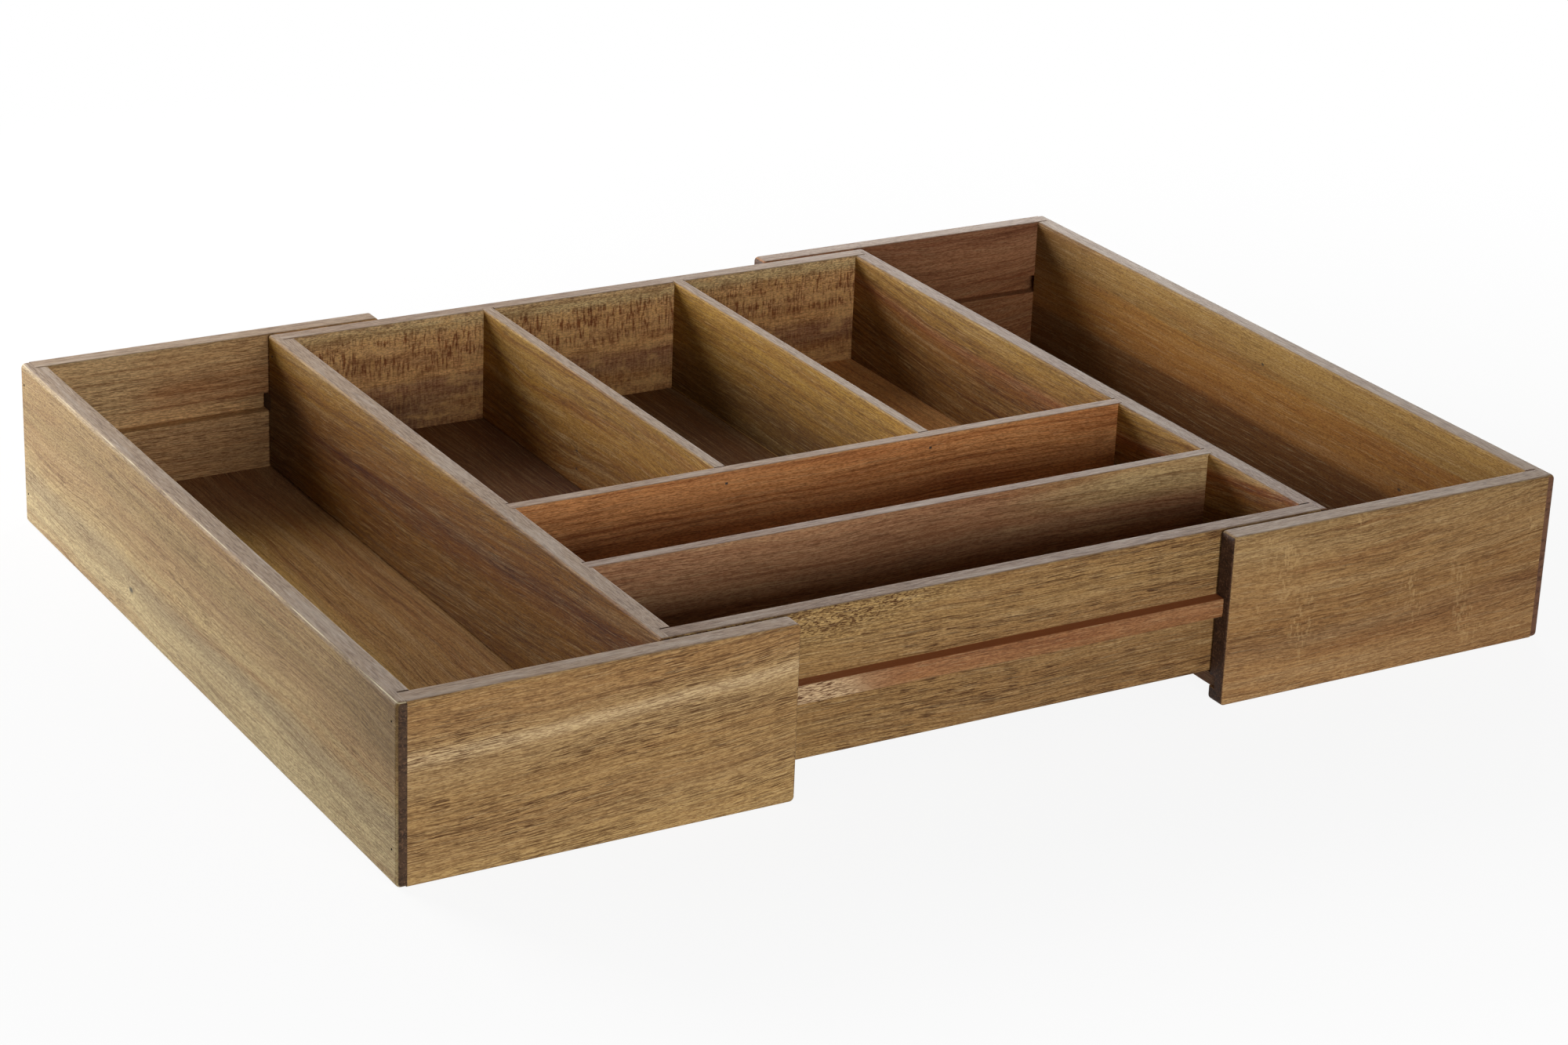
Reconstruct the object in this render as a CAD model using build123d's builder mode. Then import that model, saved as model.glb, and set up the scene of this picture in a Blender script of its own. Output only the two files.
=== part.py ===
from build123d import *
import os

# Extending cutlery tray in oiled acacia, drawn with both side trays pulled out.
# A middle box with five compartments has a rail along its front and its back.
# Each side tray is a three-sided box whose short walls are grooved for those rails,
# so it slides sideways and holds the middle box just clear of its own floor.
# Millimetres. Z = 0 is the drawer bottom, X runs side to side, the front looks along -Y.

# Outside of the whole tray
tray_depth = 368.0
tray_height = 70.0

# Middle box: walls, the foot below its floor, and the tongue left outside a corner rabbet
core_width = 292.0
core_board = 8.5
core_foot = 4.5
core_tongue = 3.5

# Side trays: the same sizes for their walls, and how far they pull out
tray_board = 9.0
tray_foot = 5.5
tray_tongue = 3.8
slide_travel = 94.0

# Floor panels, held in grooves in the walls
floor_board = 5.0
floor_set = 4.0
floor_play = 0.3
floor_setback = 1.0

# Dividers of the middle box, let into shallow housings
cross_board = 6.0
rear_board = 5.5
front_bay = 59.0
second_bay = 57.0
rear_bays = 3
housing_depth = 2.0

# Rails of the middle box, let into its front and back walls
rail_height = 7.5
rail_bottom = 36.0
rail_projection = 5.5
rail_inset = 2.0

# Running clearances
side_play = 0.5
under_play = 0.5
rail_play = 0.4
rail_tip_play = 0.5
closed_gap = 2.5
meeting_gap = 1.0

# Brads of flat wire, punched a little below the face that they are driven through
brad_width = 1.2
brad_thickness = 1.0
brad_length = 20.0
brad_sink = 0.3
brad_below_top = 8.5
brad_above_foot = 13.5
divider_brad_below_top = 5.0
divider_brad_above_floor = 14.0

# Sanded edges: the outside corners of the side trays are rounder than the rest
wall_round = 1.2
outer_round = 2.0
divider_round = 0.8
rail_round = 0.5

# Middle box, worked out
core_half_width = core_width / 2
core_half_depth = tray_depth / 2 - tray_board - side_play
core_bottom = tray_foot + floor_board + under_play
core_height = tray_height - core_bottom
core_middle = core_bottom + core_height / 2
core_floor_bottom = core_bottom + core_foot
core_floor_top = core_floor_bottom + floor_board
inner_half_width = core_half_width - core_board
inner_half_depth = core_half_depth - core_board

# Side trays, worked out
tray_half_depth = tray_depth / 2
tray_inner_half_depth = tray_half_depth - tray_board
tray_outer = core_half_width + closed_gap + tray_board + slide_travel
tray_inner = tray_outer - tray_board
tray_end = meeting_gap / 2 + slide_travel
short_wall_length = tray_outer - tray_tongue - tray_end

# Rails and their grooves, worked out
rail_middle = rail_bottom + rail_height / 2
groove_depth = rail_projection - side_play + rail_tip_play
groove_height = rail_height + 2 * rail_play

# Dividers, worked out
divider_height = tray_height - core_floor_top
divider_middle = core_floor_top + divider_height / 2
front_divider_y = front_bay + cross_board / 2 - inner_half_depth
rear_cross_y = front_divider_y + cross_board + second_bay
rear_cross_front = rear_cross_y - cross_board / 2
rear_divider_start = rear_cross_y + cross_board / 2
rear_divider_length = inner_half_depth + housing_depth - rear_divider_start
rear_pitch = (2 * inner_half_width + rear_board) / rear_bays
rear_divider_x = rear_pitch / 2

# Brad places: two at each corner joint, two through the rear cross divider into each rear divider
brad_bore = brad_sink + brad_length
core_brad_y = core_half_depth - core_board / 2
core_brad_places = [
    (end * core_brad_y, height)
    for end in (-1, 1)
    for height in (core_bottom + brad_above_foot, tray_height - brad_below_top)
]
tray_brad_y = tray_half_depth - tray_board / 2
tray_brad_places = [
    (end * tray_brad_y, height)
    for end in (-1, 1)
    for height in (brad_above_foot, tray_height - brad_below_top)
]
divider_brad_places = [
    (side * rear_divider_x, height)
    for side in (-1, 1)
    for height in (core_floor_top + divider_brad_above_floor, tray_height - divider_brad_below_top)
]

# Side wall of the middle box, right-hand one: full depth, rabbeted at both ends
with BuildPart() as core_side:
    with BuildSketch(Plane.XZ):
        with Locations((core_half_width - core_board / 2, core_middle)):
            Rectangle(core_board, core_height)
    extrude(amount=core_half_depth, both=True)
    fillet(core_side.edges(), radius=wall_round)
    # Groove for the floor panel
    with BuildSketch(Plane.XZ):
        with Locations((inner_half_width + floor_set / 2, core_floor_bottom + floor_board / 2)):
            Rectangle(floor_set, floor_board)
    extrude(amount=core_half_depth, both=True, mode=Mode.SUBTRACT)
    # Rabbets that take the front and back walls
    with BuildSketch(Plane.XY.offset(core_bottom)):
        with Locations(*[(inner_half_width, end * core_brad_y) for end in (-1, 1)]):
            Rectangle(2 * (core_board - core_tongue), core_board)
    extrude(amount=core_height, mode=Mode.SUBTRACT)
    # Housings for the ends of the two cross dividers, open at the top edge
    with BuildSketch(Plane.XY.offset(core_floor_top)):
        with Locations((inner_half_width, front_divider_y), (inner_half_width, rear_cross_y)):
            Rectangle(2 * housing_depth, cross_board)
    extrude(amount=divider_height, mode=Mode.SUBTRACT)
    # Seat of each rail across the end of the tongue
    with BuildSketch(Plane.YZ):
        with Locations((core_half_depth, rail_middle), (-core_half_depth, rail_middle)):
            Rectangle(2 * rail_inset, rail_height)
    extrude(amount=core_half_width, mode=Mode.SUBTRACT)
    # Brad holes through the tongues
    with BuildSketch(Plane.YZ.offset(core_half_width)):
        with Locations(*core_brad_places):
            Rectangle(brad_width, brad_thickness)
    extrude(amount=-brad_bore, mode=Mode.SUBTRACT)

# Front wall of the middle box: set in the rabbets, with the rail's seat along its outer face
with BuildPart() as core_front:
    with BuildSketch(Plane.YZ):
        with Locations((-core_brad_y, core_middle)):
            board = Rectangle(core_board, core_height)
        fillet(board.vertices(), radius=wall_round)
        with Locations((-inner_half_depth - floor_set / 2, core_floor_bottom + floor_board / 2)):
            Rectangle(floor_set, floor_board, mode=Mode.SUBTRACT)
        with Locations((-core_half_depth, rail_middle)):
            Rectangle(2 * rail_inset, rail_height, mode=Mode.SUBTRACT)
    extrude(amount=core_half_width - core_tongue, both=True)
    for side in (-1, 1):
        with BuildSketch(Plane.YZ.offset(side * core_half_width)):
            with Locations(*core_brad_places):
                Rectangle(brad_width, brad_thickness)
        extrude(amount=-side * brad_bore, mode=Mode.SUBTRACT)

# Back wall of the middle box: the front wall turned round, housed for the rear dividers
with BuildPart() as core_back:
    add(mirror(core_front.part, about=Plane.XZ, mode=Mode.PRIVATE))
    with BuildSketch(Plane.XY.offset(core_floor_top)):
        with Locations((-rear_divider_x, inner_half_depth), (rear_divider_x, inner_half_depth)):
            Rectangle(rear_board, 2 * housing_depth)
    extrude(amount=divider_height, mode=Mode.SUBTRACT)

# Floor panel of the middle box, loose in its grooves by the play that lets it swell
with BuildPart() as core_floor:
    with BuildSketch(Plane.XY.offset(core_floor_bottom)):
        Rectangle(
            2 * (inner_half_width + floor_set - floor_play),
            2 * (inner_half_depth + floor_set - floor_play),
        )
    extrude(amount=floor_board)

# Rail: a square strip glued into its seat, full width of the middle box
with BuildPart() as rail:
    with BuildSketch(Plane.YZ):
        with Locations((rail_inset - core_half_depth, rail_middle)):
            Rectangle(rail_inset + rail_projection, rail_height, align=(Align.MAX, Align.CENTER))
    extrude(amount=core_half_width, both=True)
    fillet(rail.faces().sort_by(Axis.Y)[0].edges(), radius=rail_round)

# Front cross divider, its ends in the side walls' housings
with BuildPart() as front_cross:
    with BuildSketch(Plane.YZ):
        with Locations((front_divider_y, divider_middle)):
            board = Rectangle(cross_board, divider_height)
        fillet(board.vertices(), radius=divider_round)
    extrude(amount=inner_half_width + housing_depth, both=True)

# Rear cross divider, bored for the brads that hold the rear dividers
with BuildPart() as rear_cross:
    with BuildSketch(Plane.YZ):
        with Locations((rear_cross_y, divider_middle)):
            board = Rectangle(cross_board, divider_height)
        fillet(board.vertices(), radius=divider_round)
    extrude(amount=inner_half_width + housing_depth, both=True)
    with BuildSketch(Plane.XZ.offset(-rear_cross_front)):
        with Locations(*divider_brad_places):
            Rectangle(brad_width, brad_thickness)
    extrude(amount=-brad_bore, mode=Mode.SUBTRACT)

# Rear divider, right-hand one: butted on the cross divider and housed in the back wall
with BuildPart() as rear_divider:
    with BuildSketch(Plane.XZ.offset(-rear_divider_start)):
        with Locations((rear_divider_x, divider_middle)):
            board = Rectangle(rear_board, divider_height)
        fillet(board.vertices(), radius=divider_round)
    extrude(amount=-rear_divider_length)
    with BuildSketch(Plane.XZ.offset(-rear_cross_front)):
        with Locations(*divider_brad_places):
            Rectangle(brad_width, brad_thickness)
    extrude(amount=-brad_bore, mode=Mode.SUBTRACT)

with BuildPart() as divider_brads:
    with BuildSketch(Plane.XZ.offset(-rear_cross_front - brad_sink)):
        with Locations(*divider_brad_places):
            Rectangle(brad_width, brad_thickness)
    extrude(amount=-brad_length)

with BuildPart() as core_brads:
    for side in (-1, 1):
        with BuildSketch(Plane.YZ.offset(side * (core_half_width - brad_sink))):
            with Locations(*core_brad_places):
                Rectangle(brad_width, brad_thickness)
        extrude(amount=-side * brad_length)

# Outer wall of the right side tray: full depth, rabbeted at both ends like the middle box
with BuildPart() as tray_outer_wall:
    with BuildSketch(Plane.XZ):
        with Locations((tray_outer - tray_board / 2, tray_height / 2)):
            Rectangle(tray_board, tray_height)
    extrude(amount=tray_half_depth, both=True)
    outside = tray_outer_wall.faces().sort_by(Axis.X)[-1]
    fillet(outside.edges() + tray_outer_wall.edges().filter_by(Axis.X), radius=outer_round)
    inside = tray_outer_wall.faces().sort_by(Axis.X)[0]
    fillet(inside.edges(), radius=wall_round)
    # Groove for the floor panel
    with BuildSketch(Plane.XZ):
        with Locations((tray_inner + floor_set / 2, tray_foot + floor_board / 2)):
            Rectangle(floor_set, floor_board)
    extrude(amount=tray_half_depth, both=True, mode=Mode.SUBTRACT)
    # Rabbets that take the short walls
    with BuildSketch(Plane.XY):
        with Locations(*[(tray_inner, end * tray_brad_y) for end in (-1, 1)]):
            Rectangle(2 * (tray_board - tray_tongue), tray_board)
    extrude(amount=tray_height, mode=Mode.SUBTRACT)
    with BuildSketch(Plane.YZ.offset(tray_outer)):
        with Locations(*tray_brad_places):
            Rectangle(brad_width, brad_thickness)
    extrude(amount=-brad_bore, mode=Mode.SUBTRACT)

# Front short wall of the right side tray: grooved right through for the rail and the floor
with BuildPart() as tray_front_wall:
    with BuildSketch(Plane.YZ.offset(tray_end)):
        with Locations((-tray_brad_y, tray_height / 2)):
            Rectangle(tray_board, tray_height)
    extrude(amount=short_wall_length)
    # The free end is rounded, the end in the rabbet stays square
    free_end = tray_front_wall.faces().sort_by(Axis.X)[0]
    fillet(free_end.edges().filter_by(Axis.Y), radius=outer_round)
    broad_faces = tray_front_wall.faces().sort_by(Axis.Y)
    arrises = [face.edges().sort_by(Axis.X)[:-1] for face in (broad_faces[0], broad_faces[-1])]
    fillet(arrises[0] + arrises[1], radius=wall_round)
    with BuildSketch(Plane.YZ.offset(tray_end)):
        with Locations((-tray_inner_half_depth, tray_foot + floor_board / 2)):
            Rectangle(2 * floor_set, floor_board)
        with Locations((-tray_inner_half_depth, rail_middle)):
            Rectangle(2 * groove_depth, groove_height)
    extrude(amount=short_wall_length, mode=Mode.SUBTRACT)
    with BuildSketch(Plane.YZ.offset(tray_outer)):
        with Locations(*tray_brad_places):
            Rectangle(brad_width, brad_thickness)
    extrude(amount=-brad_bore, mode=Mode.SUBTRACT)

# Floor panel of the right side tray, open to the middle box, which slides over it
with BuildPart() as tray_floor:
    with BuildSketch(Plane.XY.offset(tray_foot)):
        with Locations((tray_end + floor_setback, 0)):
            Rectangle(
                tray_inner + floor_set - floor_play - tray_end - floor_setback,
                2 * (tray_inner_half_depth + floor_set - floor_play),
                align=(Align.MIN, Align.CENTER),
            )
    extrude(amount=floor_board)

with BuildPart() as tray_brads:
    with BuildSketch(Plane.YZ.offset(tray_outer - brad_sink)):
        with Locations(*tray_brad_places):
            Rectangle(brad_width, brad_thickness)
    extrude(amount=-brad_length)

# Every piece by its name. What has a twin is made once and mirrored or turned into place.
pieces = {
    "core_front_wall": core_front.part,
    "core_back_wall": core_back.part,
    "core_left_wall": mirror(core_side.part, about=Plane.YZ),
    "core_right_wall": core_side.part,
    "core_floor": core_floor.part,
    "front_rail": rail.part,
    "back_rail": mirror(rail.part, about=Plane.XZ),
    "front_cross_divider": front_cross.part,
    "rear_cross_divider": rear_cross.part,
    "rear_divider_left": mirror(rear_divider.part, about=Plane.YZ),
    "rear_divider_right": rear_divider.part,
    "divider_brads": divider_brads.part,
    "core_corner_brads": core_brads.part,
    "left_outer_wall": mirror(tray_outer_wall.part, about=Plane.YZ),
    "left_front_wall": mirror(tray_front_wall.part, about=Plane.YZ),
    "left_back_wall": tray_front_wall.part.rotate(Axis.Z, 180),
    "left_floor": mirror(tray_floor.part, about=Plane.YZ),
    "left_corner_brads": mirror(tray_brads.part, about=Plane.YZ),
    "right_outer_wall": tray_outer_wall.part,
    "right_front_wall": tray_front_wall.part,
    "right_back_wall": mirror(tray_front_wall.part, about=Plane.XZ),
    "right_floor": tray_floor.part,
    "right_corner_brads": tray_brads.part,
}

os.makedirs("parts", exist_ok=True)
for name, piece in pieces.items():
    piece.label = name
    export_step(piece, f"parts/{name}.step")
    print(name, len(piece.solids()), "solids", round(piece.volume), "mm3")
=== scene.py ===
import math

import bpy
from mathutils import Matrix, Vector

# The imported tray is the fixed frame: every board below keeps the mesh that it brings.
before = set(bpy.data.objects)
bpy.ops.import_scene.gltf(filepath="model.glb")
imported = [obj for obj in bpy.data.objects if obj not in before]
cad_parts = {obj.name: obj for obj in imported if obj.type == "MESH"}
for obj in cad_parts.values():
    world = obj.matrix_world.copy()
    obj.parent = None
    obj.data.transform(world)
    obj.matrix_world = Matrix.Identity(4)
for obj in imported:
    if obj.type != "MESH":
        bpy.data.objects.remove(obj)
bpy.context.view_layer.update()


# Outer walls of the two side trays. Each is one acacia board, planed, sanded and wiped with oil,
# rabbeted at both ends and pinned to the short walls. The left one is pale sapwood with mauve
# streaks; the right one shows bands of heartwood on its inner face.

def linear(code):
    """The linear colour of an sRGB hex code."""
    parts = [int(code[i:i + 2], 16) / 255 for i in (0, 2, 4)]
    return [p / 12.92 if p <= 0.04045 else ((p + 0.055) / 1.055) ** 2.4 for p in parts] + [1.0]


def set_inputs(tree, node, inputs):
    """Sets a node's inputs, or links them to a socket or to another node's first output in use."""
    for name, value in inputs.items():
        if isinstance(value, bpy.types.Node):
            value = next(output for output in value.outputs if output.enabled)
        if isinstance(value, bpy.types.NodeSocket):
            tree.links.new(value, node.inputs[name])
        else:
            node.inputs[name].default_value = value


def add(tree, kind, inputs=None, **settings):
    """Adds a node to tree, with its settings and its inputs."""
    node = tree.nodes.new(kind)
    for name, value in settings.items():
        setattr(node, name, value)
    set_inputs(tree, node, inputs or {})
    return node


def oiled_acacia(
    name,
    grain,
    bands,
    seed,
    flat=False,
    wander=6.0,
    arch=(0.0, 0.0),
    clouds=0.5,
    streaks=0.5,
    strokes=0.6,
    pale=0.4,
    fade=None,
    open_pores=None,
    ripple=None,
    flecks=0.0,
    foot=None,
    knots=(),
    top="AB947F",
    top_level=70.0,
    greying_and_sheen=1.0,
    arris="C9B08A",
    arris_share=0.3,
    end="46301F",
):
    """Oiled acacia, planed and sanded: satin, with bands of colour, fine dark lines and open pores.

    Places and lengths are in millimetres, and strengths run from 0 to 1.

    grain: the axis that the fibres follow
    bands: the colours with their places, up the board or, if it is flat, from side to side
    seed: moves the patterns, so that no two boards share them
    wander: how far the fibres stray
    arch: where along the board they rise highest, and how far they have sunk 100 mm away
    clouds, streaks, strokes, pale: strengths of the clouds, late wood, vessels and pale fibres
    fade: a second colour, and the places along and up the board where it starts and is full
    open_pores: a patch of them: its colour, its middle and reach along and up, and their length
    ripple: strength of a figure across the fibres, and the levels that it lies between
    flecks: strength of small pale flecks across the fibres
    foot: colour and top of a pale line along the foot
    knots: their places along and up the board, and their sizes
    top, top_level, greying_and_sheen: the top edge's colour and height, and how far its grey shows,
    partly sanded wood and partly painted sheen
    arris, arris_share: the colour of that edge's rubbed corners, with a painted highlight on them,
    and how much of it shows
    end: the colour of the end grain
    """
    material = bpy.data.materials.new("oiled_acacia_" + name)
    material.use_nodes = True
    tree = material.node_tree
    coordinates = add(tree, "ShaderNodeTexCoord").outputs

    def grain_noise(place, lengths, detail=2.0, roughness=0.5):
        """Noise drawn out in the wood's directions: its size along, across and up."""
        shares = [1 / length for length in lengths]
        sized = add(tree, "ShaderNodeVectorMath", {0: place, 1: shares}, operation="MULTIPLY")
        inputs = {"Vector": sized, "Scale": 1.0, "Detail": detail, "Roughness": roughness}
        return add(tree, "ShaderNodeTexNoise", inputs)

    def where(*steps, amount=1.0):
        """How far something shows: amount, times a smooth step for each of the values given.

        A step is the value, where it starts and ends, and its shares there if not 0 and 1.
        """
        names = ("Value", "From Min", "From Max", "To Min", "To Max")
        for step in steps:
            inputs = dict(zip(names, step))
            share = add(tree, "ShaderNodeMapRange", inputs, interpolation_type="SMOOTHSTEP")
            amount = add(tree, "ShaderNodeMath", {0: share, 1: amount}, operation="MULTIPLY")
        return amount

    def stain(colour, other, *steps, amount=1.0, blend="MULTIPLY"):
        """Lays another colour, or its hex code, over a colour, as far as the steps say."""
        if isinstance(other, str):
            other = linear(other)
        # 0 is the Mix node's share, and 6 and 7 are its colours
        inputs = {0: where(*steps, amount=amount), 6: colour, 7: other}
        return add(tree, "ShaderNodeMix", inputs, data_type="RGBA", blend_type=blend)

    # Place on the board in millimetres: along the fibres, across them, and up
    metres = coordinates["Object"]
    millimetres = add(tree, "ShaderNodeVectorMath", {0: metres, "Scale": 1000.0}, operation="SCALE")
    axes = add(tree, "ShaderNodeSeparateXYZ", {0: millimetres}).outputs
    along = axes[grain]
    across = axes["Y" if grain == "X" else "X"]
    up = axes["Z"]
    board = add(tree, "ShaderNodeCombineXYZ", {"X": along, "Y": across, "Z": up})
    # Each board takes its patterns from a place of its own, further off than the boards are long
    own_place = (seed * 731.0, seed * 97.0, seed * 53.0)
    seeded = add(tree, "ShaderNodeVectorMath", {0: board, 1: own_place}, operation="ADD")

    def away_from(middle, scale):
        """The way from a place along and up the board, each of the two times its scale."""
        start = (middle[0], 0.0, middle[1])
        scales = (scale[0], 0.0, scale[1])
        way = add(tree, "ShaderNodeVectorMath", {0: board, 1: start}, operation="SUBTRACT")
        return add(tree, "ShaderNodeVectorMath", {0: way, 1: scales}, operation="MULTIPLY")

    # The fibres arch over the board, wander slowly along it, sway and waver
    away = add(tree, "ShaderNodeMath", {0: along, 1: arch[0]}, operation="SUBTRACT")
    squared = add(tree, "ShaderNodeMath", {0: away, 1: away}, operation="MULTIPLY")
    shift = add(tree, "ShaderNodeMath", {0: squared, 1: -arch[1] / 100**2}, operation="MULTIPLY")
    for lengths, width in (
        ((150.0, 60.0, 60.0), 2.0 * wander),
        ((42.0, 16.0, 16.0), 0.5 * wander),
        ((9.0, 3.0, 3.0), 0.8),
    ):
        noise = grain_noise(seeded, lengths, detail=1.0)
        wave = add(tree, "ShaderNodeMath", {0: noise, 1: 0.5}, operation="SUBTRACT")
        inputs = {0: wave, 1: width, 2: shift}
        shift = add(tree, "ShaderNodeMath", inputs, operation="MULTIPLY_ADD")
    for knot_along, knot_up, knot_size in knots:
        # They part round a knot over a few of its widths, upwards above it and downwards below it
        way = away_from((knot_along, knot_up), (0.4, 1.0))
        apart = add(tree, "ShaderNodeVectorMath", {0: way}, operation="LENGTH")
        parted = where((apart, 4.0 * knot_size, 0.5 * knot_size), amount=knot_size)
        above = add(tree, "ShaderNodeMath", {0: up, 1: knot_up}, operation="SUBTRACT")
        side = add(tree, "ShaderNodeMath", {0: above}, operation="SIGN")
        inputs = {0: parted, 1: side, 2: shift}
        shift = add(tree, "ShaderNodeMath", inputs, operation="MULTIPLY_ADD")
    moved = add(tree, "ShaderNodeCombineXYZ", {"Y" if flat else "Z": shift})
    fibres = add(tree, "ShaderNodeVectorMath", {0: seeded, 1: moved}, operation="ADD")
    level = add(tree, "ShaderNodeMath", {0: across if flat else up, 1: shift}, operation="ADD")

    # Broad bands of colour, where the saw went through sapwood and heartwood
    lowest, highest = bands[0][0], bands[-1][0]
    inputs = {"Value": level, "From Min": lowest, "From Max": highest}
    ramp = add(tree, "ShaderNodeValToRGB", {"Fac": add(tree, "ShaderNodeMapRange", inputs)})
    ramp.color_ramp.interpolation = "EASE"
    while len(ramp.color_ramp.elements) < len(bands):
        ramp.color_ramp.elements.new(0.5)
    for element, (place, code) in zip(ramp.color_ramp.elements, bands):
        element.position = (place - lowest) / (highest - lowest)
        element.color = linear(code)
    colour = ramp
    if fade:
        steps = [(along, *fade["along"])]
        if "level" in fade:
            steps.append((level, *fade["level"]))
        colour = stain(colour, fade["code"], *steps, blend="MIX")

    # Soft lengthwise clouds, some redder and darker, some pale
    cloudy = grain_noise(fibres, (130.0, 6.5, 6.5), detail=3.0, roughness=0.55)
    colour = stain(colour, "D2AE92", (cloudy, 0.5, 0.7), amount=clouds)
    colour = stain(colour, "E2CDA0", (cloudy, 0.47, 0.3), amount=0.22 * clouds, blend="MIX")

    # Streaks of late wood, 1 mm or so thick, and the paler wood between them
    streaky = grain_noise(fibres, (95.0, 1.5, 1.5), detail=4.0, roughness=0.6)
    colour = stain(colour, "B4947C", (streaky, 0.48, 0.68), amount=streaks)
    colour = stain(colour, "E2C894", (streaky, 0.48, 0.32), amount=0.22 * streaks, blend="MIX")

    # Vessels cut lengthwise by the plane: dark lines, long ones and short ones, in drifts.
    # Real ones are 0.1 to 0.2 mm wide. They are drawn 0.3 mm wide, so that they show.
    lined = grain_noise(fibres, (38.0, 0.34, 0.34), detail=1.0)
    dashed = grain_noise(fibres, (9.0, 0.28, 0.28), detail=0.0)
    long_cuts = where((lined, 0.53, 0.61), amount=0.65)
    short_cuts = where((dashed, 0.56, 0.64), amount=0.9)
    vessels = add(tree, "ShaderNodeMath", {0: long_cuts, 1: short_cuts}, operation="MAXIMUM")
    drifts = grain_noise(seeded, (75.0, 12.0, 12.0), detail=1.0)
    cut = where((drifts, 0.36, 0.6, 0.55 * strokes, strokes), amount=vessels)
    if open_pores:
        # Coarse open pores, crowded in one place on paler wood
        shares = [1 / reach for reach in open_pores["reach"]]
        way = away_from(open_pores["middle"], shares)
        apart = add(tree, "ShaderNodeVectorMath", {0: way, 1: way}, operation="DOT_PRODUCT")
        ragged = add(tree, "ShaderNodeMath", {0: apart, 1: cloudy}, operation="ADD")
        inside = (ragged, 1.7, 0.8)
        colour = stain(colour, open_pores["code"], inside, amount=0.75, blend="MIX")
        pores = grain_noise(fibres, (open_pores["length"], 0.36, 0.36), detail=1.0)
        crowded = where((pores, 0.5, 0.57), inside, amount=0.95)
        cut = add(tree, "ShaderNodeMath", {0: cut, 1: crowded}, operation="MAXIMUM")
    colour = stain(colour, "74584A", amount=cut)

    # Pale fibres, and the mottle of the sanded surface. Single fibres are far too fine to show,
    # so bundles of them are drawn, 0.3 mm wide.
    pale_lines = grain_noise(fibres, (15.0, 0.36, 0.36), detail=1.0)
    colour = stain(colour, "EAD2A0", (pale_lines, 0.42, 0.3), amount=0.45 * pale, blend="MIX")
    mottle = grain_noise(fibres, (1.8, 0.32, 0.32), detail=1.0, roughness=0.6)
    colour = stain(colour, "B09C8E", (mottle, 0.42, 0.62), amount=0.6)

    if ripple:
        # Ripple figure: narrow dark and golden waves that stand across the fibres, in ragged rows
        low, high = ripple["level"]
        waves = grain_noise(seeded, (1.1, 5.5, 5.5), roughness=0.6)
        ragged = grain_noise(fibres, (22.0, 7.0, 7.0))
        rows = where(
            (up, low - 4.0, low + 2.0, 0.4, 1.0),
            (up, high + 2.0, high - 3.0),
            (ragged, 0.26, 0.46),
            amount=ripple["amount"],
        )
        colour = stain(colour, "AC8A76", (waves, 0.47, 0.64), amount=rows)
        colour = stain(colour, "ECBC74", (waves, 0.5, 0.36, 0.0, 0.6), amount=rows, blend="MIX")
        # Uneven shade all over, and small dark spots
        shaded = grain_noise(fibres, (15.0, 5.0, 5.0), roughness=0.6)
        colour = stain(colour, "A2806C", (shaded, 0.5, 0.72), amount=0.5)
        colour = stain(colour, "F0C280", (shaded, 0.48, 0.32), amount=0.5, blend="MIX")
        spots = grain_noise(seeded, (1.6, 0.6, 0.6), roughness=0.6)
        spotted = (up, low, high, 0.3, 0.55 * ripple["amount"])
        colour = stain(colour, "84605A", (spots, 0.46, 0.6), spotted)

    if flecks:
        # Pale flecks of cross figure, in patches, where the light catches fibres that dip
        fleck = grain_noise(seeded, (1.1, 2.6, 2.6))
        patch = grain_noise(seeded, (11.0, 24.0, 24.0), detail=1.0)
        steps = ((fleck, 0.5, 0.66), (patch, 0.54, 0.7))
        colour = stain(colour, "D6B37C", *steps, amount=flecks, blend="MIX")

    if foot:
        # A pale line along the foot
        colour = stain(colour, foot["code"], (up, foot["top"] + 0.3, foot["top"]), blend="MIX")

    for knot_along, knot_up, knot_size in knots:
        # Small dark knots, longer along the fibres than they are high
        way = away_from((knot_along, knot_up), (0.55, 1.0))
        apart = add(tree, "ShaderNodeVectorMath", {0: way}, operation="LENGTH")
        dark = (apart, knot_size, 0.3 * knot_size)
        colour = stain(colour, "3B332A", dark, amount=0.85, blend="MIX")

    # Which way the face looks tells the top edge with its painted sheen, its rubbed corner with its
    # painted highlight, and the end grain apart
    facing = add(tree, "ShaderNodeSeparateXYZ", {0: coordinates["Normal"]}).outputs
    if not flat:
        # The top edge is painted grey: partly the sanded, less oiled wood, and partly a painted
        # sheen of the white surround
        top_lines = grain_noise(fibres, (7.0, 0.6, 0.6), detail=2.5, roughness=0.6)
        top_clouds = grain_noise(seeded, (38.0, 4.0, 4.0))
        edge = stain(linear(top), "9C8F8C", (top_lines, 0.46, 0.64), amount=0.7 * greying_and_sheen)
        edge = stain(edge, "CBBCAE", (top_clouds, 0.48, 0.7), amount=0.4 * greying_and_sheen, blend="MIX")
        edge = stain(edge, "D6C8BC", (top_lines, 0.42, 0.3), amount=0.4 * greying_and_sheen, blend="MIX")
        high_up = (up, top_level - 3.0, top_level - 2.0)
        looks_up = (facing["Z"], 0.8, 0.97)
        colour = stain(colour, edge, looks_up, high_up, amount=0.88, blend="MIX")
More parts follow.
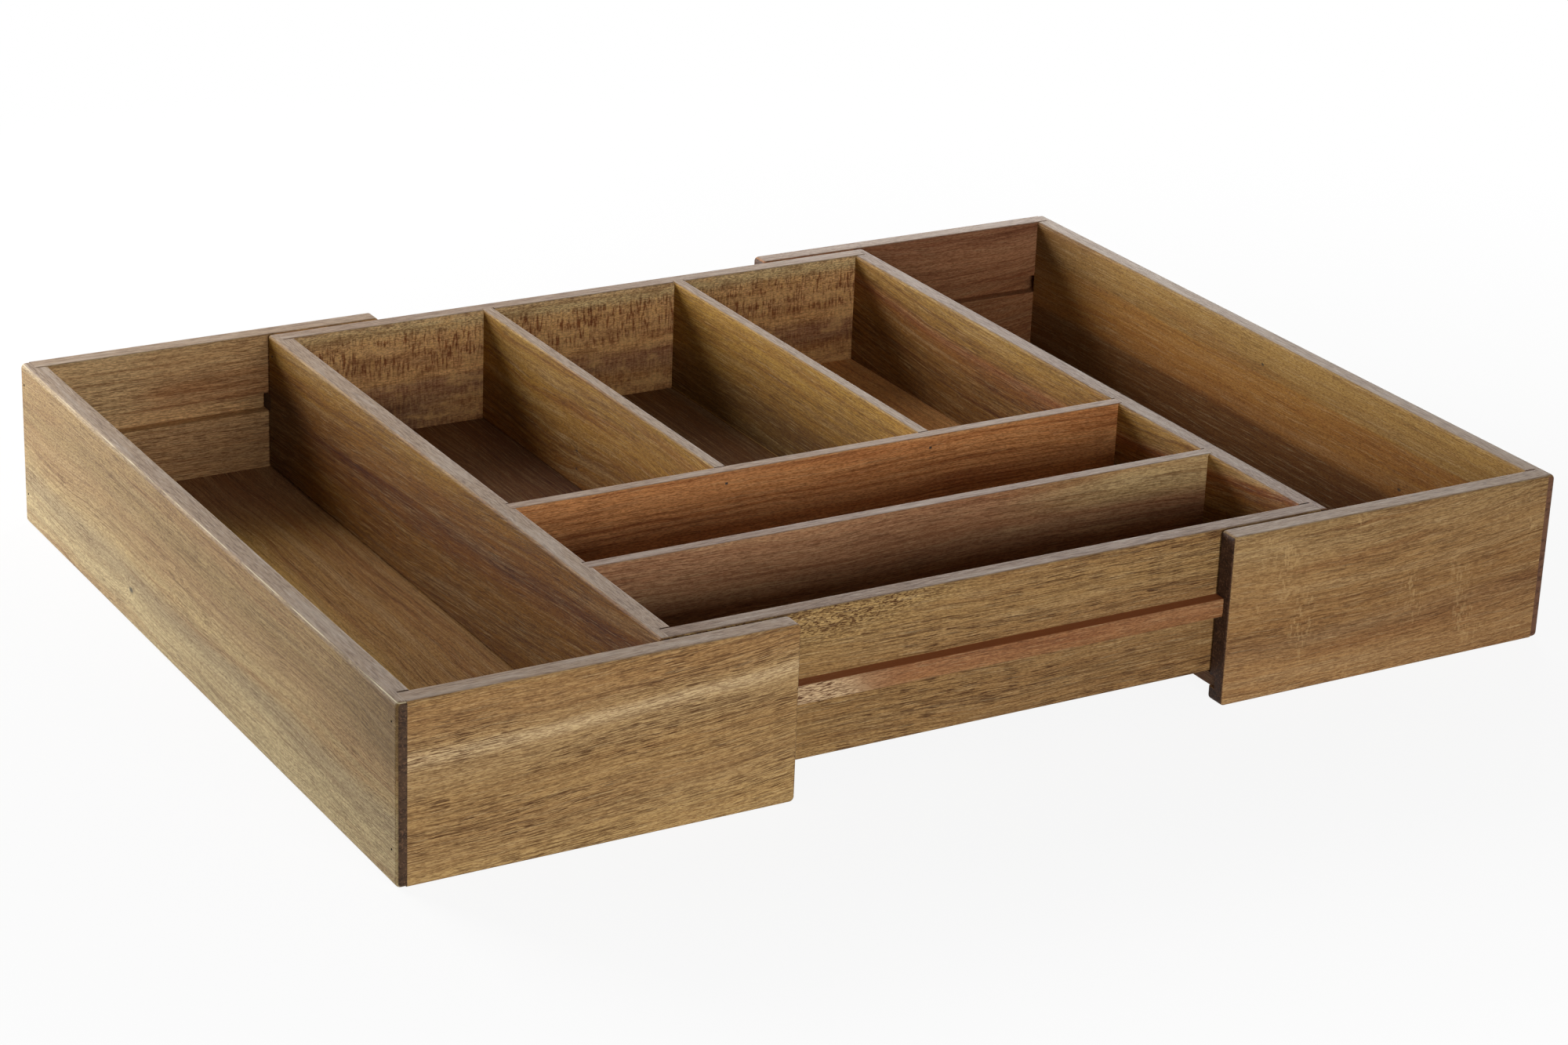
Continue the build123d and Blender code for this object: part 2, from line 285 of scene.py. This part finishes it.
        # Sanding wears the oil off the corner, and a painted highlight lies on it as well: a thin
        # broken pale line
        rubbed_and_glinting = grain_noise(seeded, (26.0, 8.0, 8.0), detail=3.0)
        steps = (
            (facing["Z"], 0.68, 0.75),
            (facing["Z"], 0.87, 0.8),
            (rubbed_and_glinting, 0.4, 0.58, 0.1, 1.0),
            high_up,
        )
        colour = stain(colour, arris, *steps, amount=arris_share, blend="MIX")
    rings = grain_noise(seeded, (60.0, 5.0, 1.6), detail=3.0, roughness=0.6)
    cut_ends = grain_noise(seeded, (9.0, 0.8, 0.8), roughness=0.65)
    end_grain = stain(linear(end), "7C6456", (rings, 0.45, 0.65), amount=0.7)
    end_grain = stain(end_grain, "7C5A42", (cut_ends, 0.53, 0.64), amount=0.4, blend="MIX")
    endways = add(tree, "ShaderNodeMath", {0: facing[grain]}, operation="ABSOLUTE")
    colour = stain(colour, end_grain, (endways, 0.55, 0.85), blend="MIX")

    # A thin coat of oil, IOR about 1.47, shines less on open wood than a film would, and least
    # where the vessels are open. They lie a tenth of a millimetre below the surface, and the
    # mottle lies a little below it.
    sanded = 0.62
    open_wood = 0.82
    vessel_depth = 0.0001
    sunk = add(
        tree,
        "ShaderNodeMath",
        {0: cut, 1: where((mottle, 0.42, 0.62), amount=0.3)},
        operation="ADD",
    )
    height = add(tree, "ShaderNodeMath", {0: 1.0, 1: sunk}, operation="SUBTRACT")
    bump = {"Strength": 0.5, "Distance": vessel_depth, "Height": height}
    finish = {
        "Base Color": colour,
        "Roughness": where((cut, 0.0, 1.0, sanded, open_wood)),
        "IOR": 1.47,
        "Specular IOR Level": 0.22,
        "Normal": add(tree, "ShaderNodeBump", bump),
    }
    set_inputs(tree, tree.nodes["Principled BSDF"], finish)
    return material


def finish_with(material, *names):
    """Gives CAD boards their finish."""
    for name in names:
        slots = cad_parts[name].data.materials
        slots.clear()
        slots.append(material)


# Cream at the foot and tan above, with soft mauve streaks, one knot and pale rubbed corners with a
# painted highlight
pale_sapwood = oiled_acacia(
    "pale_sapwood",
    grain="Y",
    bands=[
        (0, "D0BD8F"), (12, "CDB98A"), (22, "B8A379"), (30, "C6AC78"),
        (42, "B49462"), (52, "A98C59"), (62, "B69762"), (70, "AE905C"),
    ],
    seed=1,
    wander=7.0,
    clouds=0.45,
    streaks=0.5,
    strokes=0.55,
    pale=0.3,
    fade=dict(code="8C7044", along=(-110.0, -184.0), level=(36.0, 50.0)),
    knots=[(63.0, 15.5, 1.6)],
    arris="EADBB4",
    arris_share=0.8,
    end="44301F",
)
finish_with(pale_sapwood, "left_outer_wall")

# Straight bands: dark brown heartwood below, gold in the middle, olive gold above
banded_heartwood = oiled_acacia(
    "banded_heartwood",
    grain="Y",
    bands=[
        (0, "73471E"), (28, "7F5325"), (33, "A97336"), (44, "B17C38"),
        (53.5, "AD7B36"), (54.5, "A77F40"), (70, "AD8847"),
    ],
    seed=2,
    wander=2.0,
    clouds=0.35,
    streaks=0.35,
    strokes=0.45,
    # Painted shade: darker towards the rear end, where the back wall shades the inner face
    fade=dict(code="7C5628", along=(85.0, 190.0), level=(24.0, 60.0)),
    knots=[(-3.0, 58.0, 0.8), (-101.0, 35.0, 1.0)],
    end="6E4C38",
)
finish_with(banded_heartwood, "right_outer_wall")


# Short walls of the side trays, front and back. Each sits in the rabbets of its outer wall and is
# grooved for the rail and the floor. Acacia, planed, sanded and oiled, with its grain along the
# wall and dark end grain.

# Gold with strong dark lines, and one pale band that sinks slowly towards the right
golden_arched = oiled_acacia(
    "golden_arched",
    grain="X",
    bands=[
        (0, "BC9B65"), (10, "B18F5D"), (28, "AE8B58"), (42, "B19161"),
        (47, "CDB184"), (51, "AE8D5D"), (60, "A37D4D"), (70, "A78351"),
    ],
    seed=3,
    wander=4.0,
    arch=(-250.0, 3.8),
    clouds=0.15,
    streaks=0.25,
    strokes=0.95,
)
finish_with(golden_arched, "left_front_wall")

# Even gold brown, with a few pale flecks that cross the grain
golden_even = oiled_acacia(
    "golden_even",
    grain="X",
    bands=[
        (0, "B28958"), (12, "B08756"), (22, "9B7449"),
        (30, "A17949"), (45, "A98352"), (70, "A78758"),
    ],
    seed=4,
    wander=5.0,
    arch=(120.0, 4.0),
    clouds=0.4,
    streaks=0.5,
    strokes=0.6,
    flecks=0.3,
    end="3A2416",
)
finish_with(golden_even, "right_front_wall")

# Warm light brown, straight and finely lined. Its colours are painted lighter than the wood, as
# painted light for its inner face, which lies in shade.
brown_lined = oiled_acacia(
    "brown_lined",
    grain="X",
    bands=[(0, "C09463"), (33, "D6AB78"), (38, "F8CD90"), (45, "DCAC77"), (70, "E3B981")],
    seed=5,
    wander=2.0,
    clouds=0.4,
    streaks=0.6,
    strokes=0.7,
    fade=dict(code="F0CA92", along=(-190.0, -215.0), level=(32.0, 38.0)),
)
finish_with(brown_lined, "left_back_wall")

# Red brown heartwood with a sweeping grain
red_brown = oiled_acacia(
    "red_brown",
    grain="X",
    bands=[(0, "AE774D"), (30, "B47B51"), (55, "C68E65"), (70, "B57F5C")],
    seed=6,
    wander=8.0,
    arch=(190.0, 12.0),
    clouds=0.5,
    streaks=0.4,
    strokes=0.4,
)
finish_with(red_brown, "right_back_wall")


# Floor panels: thin acacia boards, sanded and oiled, loose in grooves in the walls, with their
# grain front to back. They are darker heartwood than the walls and lie deep in the trays.

# Gold beside the outer wall, turning brown towards the middle box
brown_panel = oiled_acacia(
    "brown_panel",
    grain="Y",
    bands=[
        (-248, "CD994E"), (-205, "D1A654"), (-195, "DEB65B"),
        (-180, "B58848"), (-146, "A4773F"), (-94, "9F713F"),
    ],
    seed=7,
    flat=True,
    clouds=0.5,
    streaks=0.5,
    strokes=0.6,
    # Painted shade: darker towards the rear, where the walls behind it shade it
    fade=dict(code="976C45", along=(95.0, 150.0)),
)
finish_with(brown_panel, "left_floor")

# Dark red brown all over
red_panel = oiled_acacia(
    "red_panel",
    grain="Y",
    bands=[(94, "6C4628"), (160, "7A4E2C"), (248, "74502E")],
    seed=8,
    flat=True,
    clouds=0.5,
    streaks=0.5,
    strokes=0.5,
)
finish_with(red_panel, "right_floor")

# Very dark brown on the left and in the middle, and pale tan on the right
dark_panel = oiled_acacia(
    "dark_panel",
    grain="Y",
    bands=[
        (-142, "67411D"), (-90, "764B24"), (-40, "5F391A"),
        (40, "6C441E"), (90, "CD9352"), (142, "E7AB68"),
    ],
    seed=9,
    flat=True,
    clouds=0.5,
    streaks=0.5,
    strokes=0.4,
)
finish_with(dark_panel, "core_floor")


# Walls of the middle box: acacia boards, planed, sanded and oiled, rabbeted and pinned at the
# corners like the side trays. The front wall has a patch of coarse open pores; the back wall is
# figured across the grain. Three of the four have a darker top edge than the side trays have.

darker_edge = "9C8574"

# Gold brown with strong dark lines, and pale wood with dark pores high up on the left
golden_pored = oiled_acacia(
    "golden_pored",
    grain="X",
    bands=[(11, "9B7749"), (30, "977447"), (44, "9C784B"), (58, "A38150"), (70, "A07D4D")],
    seed=10,
    wander=3.5,
    clouds=0.25,
    streaks=0.3,
    strokes=1.0,
    fade=dict(code="A68350", along=(60.0, -150.0), level=(5.0, 10.0)),
    open_pores=dict(code="B89860", middle=(-104.0, 74.0), reach=(98.0, 21.0), length=1.8),
    top=darker_edge,
)
finish_with(golden_pored, "core_front_wall")

# Golden wood with rows of dark waves that stand across the grain near the top. Its colours are
# painted lighter than the wood, as painted light for its inner face, which lies in shade.
rippled = oiled_acacia(
    "rippled",
    grain="X",
    bands=[
        (11, "E0AE75"), (28, "E4B275"), (35, "C29267"), (39, "CA986D"), (44, "FFCB87"),
        (49, "ECB97D"), (61, "FCCC8C"), (66, "FFE4A5"), (70, "FFD99E"),
    ],
    seed=11,
    wander=3.0,
    clouds=0.4,
    streaks=0.5,
    strokes=0.35,
    fade=dict(code="B38B65", along=(-50.0, -85.0), level=(38.0, 30.0)),
    ripple=dict(amount=0.95, level=(48.0, 66.0)),
    top=darker_edge,
)
finish_with(rippled, "core_back_wall")

# Olive brown with one dark streak half-way up
olive_streaked = oiled_acacia(
    "olive_streaked",
    grain="Y",
    bands=[
        (-18, "81571B"), (0, "83581B"), (20, "885B1B"), (28, "825118"), (33, "6D3E0F"),
        (37, "845419"), (44, "8F601D"), (54, "9B7023"), (66, "977025"),
    ],
    seed=12,
    wander=3.0,
    arch=(400.0, 0.89),
    clouds=0.55,
    streaks=0.6,
    strokes=0.65,
    # Painted shadow of the back wall: darker towards the rear end, low down
    fade=dict(code="69461E", along=(118.0, 158.0), level=(52.0, 40.0)),
)
finish_with(olive_streaked, "core_left_wall")

# Olive gold above and brown below, with a red streak between them that arches
gold_red_arched = oiled_acacia(
    "gold_red_arched",
    grain="Y",
    bands=[
        (11, "835823"), (40, "8B6026"), (49, "905E25"),
        (53, "905523"), (57, "9D7432"), (70, "A8833B"),
    ],
    seed=13,
    wander=3.0,
    arch=(40.0, 4.0),
    clouds=0.5,
    streaks=0.6,
    strokes=0.6,
    top=darker_edge,
)
finish_with(gold_red_arched, "core_right_wall")


# Dividers of the middle box: thin acacia boards, sanded and oiled, let into shallow housings.
# The rear cross divider is orange-red heartwood, the front one dark brown with an olive band, and
# the rear dividers, which are pinned to the rear cross divider, are olive gold.

# Orange red, with strong streaks
orange_red = oiled_acacia(
    "orange_red",
    grain="X",
    bands=[(20, "C1956B"), (45, "D79D68"), (60, "DC9D62"), (70, "D8965B")],
    seed=14,
    wander=4.0,
    clouds=0.45,
    streaks=0.8,
    strokes=0.5,
)
finish_with(orange_red, "rear_cross_divider")

# Dull dark brown, with a paler olive band along the upper right
dark_brown_olive = oiled_acacia(
    "dark_brown_olive",
    grain="X",
    bands=[(20, "8E633F"), (45, "A07453"), (58, "B98A64"), (70, "BA8B65")],
    seed=15,
    wander=5.0,
    clouds=0.55,
    streaks=0.5,
    strokes=0.5,
    fade=dict(code="DABB85", along=(30.0, 100.0), level=(54.0, 61.0)),
    top=darker_edge,
)
finish_with(dark_brown_olive, "front_cross_divider")

# Olive gold, wavy, with two small knots at the rear
olive_gold_wavy = oiled_acacia(
    "olive_gold_wavy",
    grain="Y",
    bands=[(20, "8F5C20"), (40, "926626"), (52, "A77A2E"), (60, "A0772F"), (70, "A88131")],
    seed=16,
    wander=8.0,
    clouds=0.65,
    streaks=0.6,
    strokes=0.5,
    knots=[(77.0, 36.5, 0.9), (77.0, 28.5, 0.8)],
)
finish_with(olive_gold_wavy, "rear_divider_left")

# Olive gold, straight and even, darker below, with a pale line at its foot
olive_gold_straight = oiled_acacia(
    "olive_gold_straight",
    grain="Y",
    bands=[(20, "705120"), (34, "795623"), (46, "986F29"), (70, "B08734")],
    seed=17,
    wander=2.0,
    clouds=0.4,
    streaks=0.45,
    strokes=0.5,
    foot=dict(code="B08A50", top=21.2),
)
finish_with(olive_gold_straight, "rear_divider_right")


# Rails: square strips of acacia heartwood, planed and oiled, glued into seats along the front and
# the back of the middle box. The side trays slide on them.

# Pinkish orange, fading to cream sapwood with dark specks at the left end
pink_orange = oiled_acacia(
    "pink_orange",
    grain="X",
    bands=[(34, "9B6A3E"), (40, "9E6E46"), (46, "93613B")],
    seed=18,
    wander=1.0,
    clouds=0.5,
    streaks=0.4,
    strokes=0.6,
    fade=dict(code="CCAC84", along=(-45.0, -95.0)),
    open_pores=dict(code="D8BA90", middle=(-98.0, 38.0), reach=(34.0, 9.0), length=4.0),
    # Painted shade: the top face is darker, for the shade it lies in under the groove, and it has
    # no grey sheen
    top="8E512C",
    top_level=43.5,
    greying_and_sheen=0.0,
)
finish_with(pink_orange, "front_rail", "back_rail")


# Brads: short pins of flat drawn steel wire, punched just below the surface at the corners and
# through the rear cross divider. The oil and the dust in the hole have dulled them.

def dulled_wire():
    """Plain drawn steel wire: grey, dull, with darker stains."""
    material = bpy.data.materials.new("steel_wire_dulled")
    material.use_nodes = True
    tree = material.node_tree
    stains_per_metre = 900.0
    place = add(tree, "ShaderNodeTexCoord").outputs["Object"]
    inputs = {"Vector": place, "Scale": stains_per_metre, "Detail": 3.0}
    ramp = add(tree, "ShaderNodeValToRGB", {"Fac": add(tree, "ShaderNodeTexNoise", inputs)})
    ramp.color_ramp.elements[0].color = linear("3A3431")
    ramp.color_ramp.elements[1].color = linear("6E6A66")
    finish = {"Base Color": ramp, "Metallic": 1.0, "Roughness": 0.55}
    set_inputs(tree, tree.nodes["Principled BSDF"], finish)
    return material


finish_with(
    dulled_wire(),
    "divider_brads",
    "core_corner_brads",
    "left_corner_brads",
    "right_corner_brads",
)


# Floor of the studio: matt white paper just under the tray's feet. It keeps the tray's soft
# shadow, and runs out to white a little way from the tray.

def seen_rays(tree):
    """1 for what the camera sees, straight, in a gloss or through glass, and 0 for other light."""
    rays = add(tree, "ShaderNodeLightPath").outputs
    camera_or_gloss = {0: rays["Is Camera Ray"], 1: rays["Is Glossy Ray"]}
    seen = add(tree, "ShaderNodeMath", camera_or_gloss, operation="MAXIMUM")
    seen_or_glass = {0: seen, 1: rays["Is Transmission Ray"]}
    return add(tree, "ShaderNodeMath", seen_or_glass, operation="MAXIMUM")


floor_half = 4.0
floor_level = -0.0002
corners = [(-1, -1), (1, -1), (1, 1), (-1, 1)]
floor_mesh = bpy.data.meshes.new("studio_floor")
floor_mesh.from_pydata(
    [(x * floor_half, y * floor_half, floor_level) for x, y in corners],
    [],
    [(0, 1, 2, 3)],
)
floor = bpy.data.objects.new("studio_floor", floor_mesh)
bpy.context.scene.collection.objects.link(floor)

white = (1.0, 1.0, 1.0, 1.0)
white_by_tray = 0.9
run_out_from = 0.25
run_out_to = 0.75
floor_paper = bpy.data.materials.new("matt_white_paper")
floor_paper.use_nodes = True
tree = floor_paper.node_tree
tree.nodes.remove(tree.nodes["Principled BSDF"])
paper = add(tree, "ShaderNodeBsdfDiffuse", {"Color": linear("F2F2F2")})
glow = add(tree, "ShaderNodeEmission", {"Color": white, "Strength": 1.0})
place = add(tree, "ShaderNodeTexCoord").outputs["Object"]
away = add(tree, "ShaderNodeVectorMath", {0: place}, operation="LENGTH")
inputs = {"Value": away, "From Min": run_out_from, "From Max": run_out_to, "To Min": white_by_tray}
run_out = add(tree, "ShaderNodeMapRange", inputs)
white_share = add(tree, "ShaderNodeMath", {0: seen_rays(tree), 1: run_out}, operation="MULTIPLY")
surface = add(tree, "ShaderNodeMixShader", {0: white_share, 1: paper, 2: glow})
set_inputs(tree, tree.nodes["Material Output"], {"Surface": surface})
floor_mesh.materials.append(floor_paper)


# Studio light: a large soft box behind the tray on the left, a smaller one behind on the right, a
# weak one in front, and a weak surround that only looks white.

def soft_box(name, place, aim, width, height, watts):
    """A rectangular lamp at place that looks at aim."""
    lamp = bpy.data.lights.new(name, "AREA")
    lamp.shape = "RECTANGLE"
    lamp.size = width
    lamp.size_y = height
    lamp.energy = watts
    lamp_object = bpy.data.objects.new(name, lamp)
    bpy.context.scene.collection.objects.link(lamp_object)
    turn = (Vector(aim) - Vector(place)).to_track_quat("-Z", "Y").to_matrix().to_4x4()
    lamp_object.matrix_world = Matrix.Translation(Vector(place)) @ turn


def round_the_tray(bearing, height_angle, distance):
    """The place at this bearing from +X, angle above the floor, both in degrees, and distance."""
    turn, climb = math.radians(bearing), math.radians(height_angle)
    flat = distance * math.cos(climb)
    return (flat * math.cos(turn), flat * math.sin(turn), distance * math.sin(climb))


middle = (0.0, 0.0, 0.03)
soft_box("soft_box_front", round_the_tray(262, 12, 1.0), middle, 0.4, 0.4, 5.2)
soft_box("soft_box_rear_left", round_the_tray(121, 17, 1.15), middle, 0.6, 0.7, 20.0)
soft_box("soft_box_rear_right", round_the_tray(48, 18, 1.3), middle, 0.6, 0.4, 8.0)

surround_strength = 0.05
world = bpy.data.worlds.new("studio_surround")
bpy.context.scene.world = world
world.use_nodes = True
tree = world.node_tree
inputs = {"Value": seen_rays(tree), "To Min": surround_strength}
strength = add(tree, "ShaderNodeMapRange", inputs)
set_inputs(tree, tree.nodes["Background"], {"Color": white, "Strength": strength})
bpy.context.scene.view_settings.view_transform = "Standard"


# Camera where the photograph was taken from: in front, to the left, and a little above. Its place,
# turns and lens were fitted to the corners of the tray.

camera_place = Vector((-0.7477, -1.2622, 0.6200))
camera_swing = math.radians(-30.85)
camera_tilt = math.radians(90 - 22.09)
camera_roll = math.radians(2.30)
camera = bpy.data.cameras.new("camera")
camera.sensor_width = 36.0
camera.lens = 89.24
camera_object = bpy.data.objects.new("camera", camera)
bpy.context.scene.collection.objects.link(camera_object)
camera_object.matrix_world = (
    Matrix.Translation(camera_place)
    @ Matrix.Rotation(camera_swing, 4, "Z")
    @ Matrix.Rotation(camera_tilt, 4, "X")
    @ Matrix.Rotation(camera_roll, 4, "Z")
)
bpy.context.scene.camera = camera_object
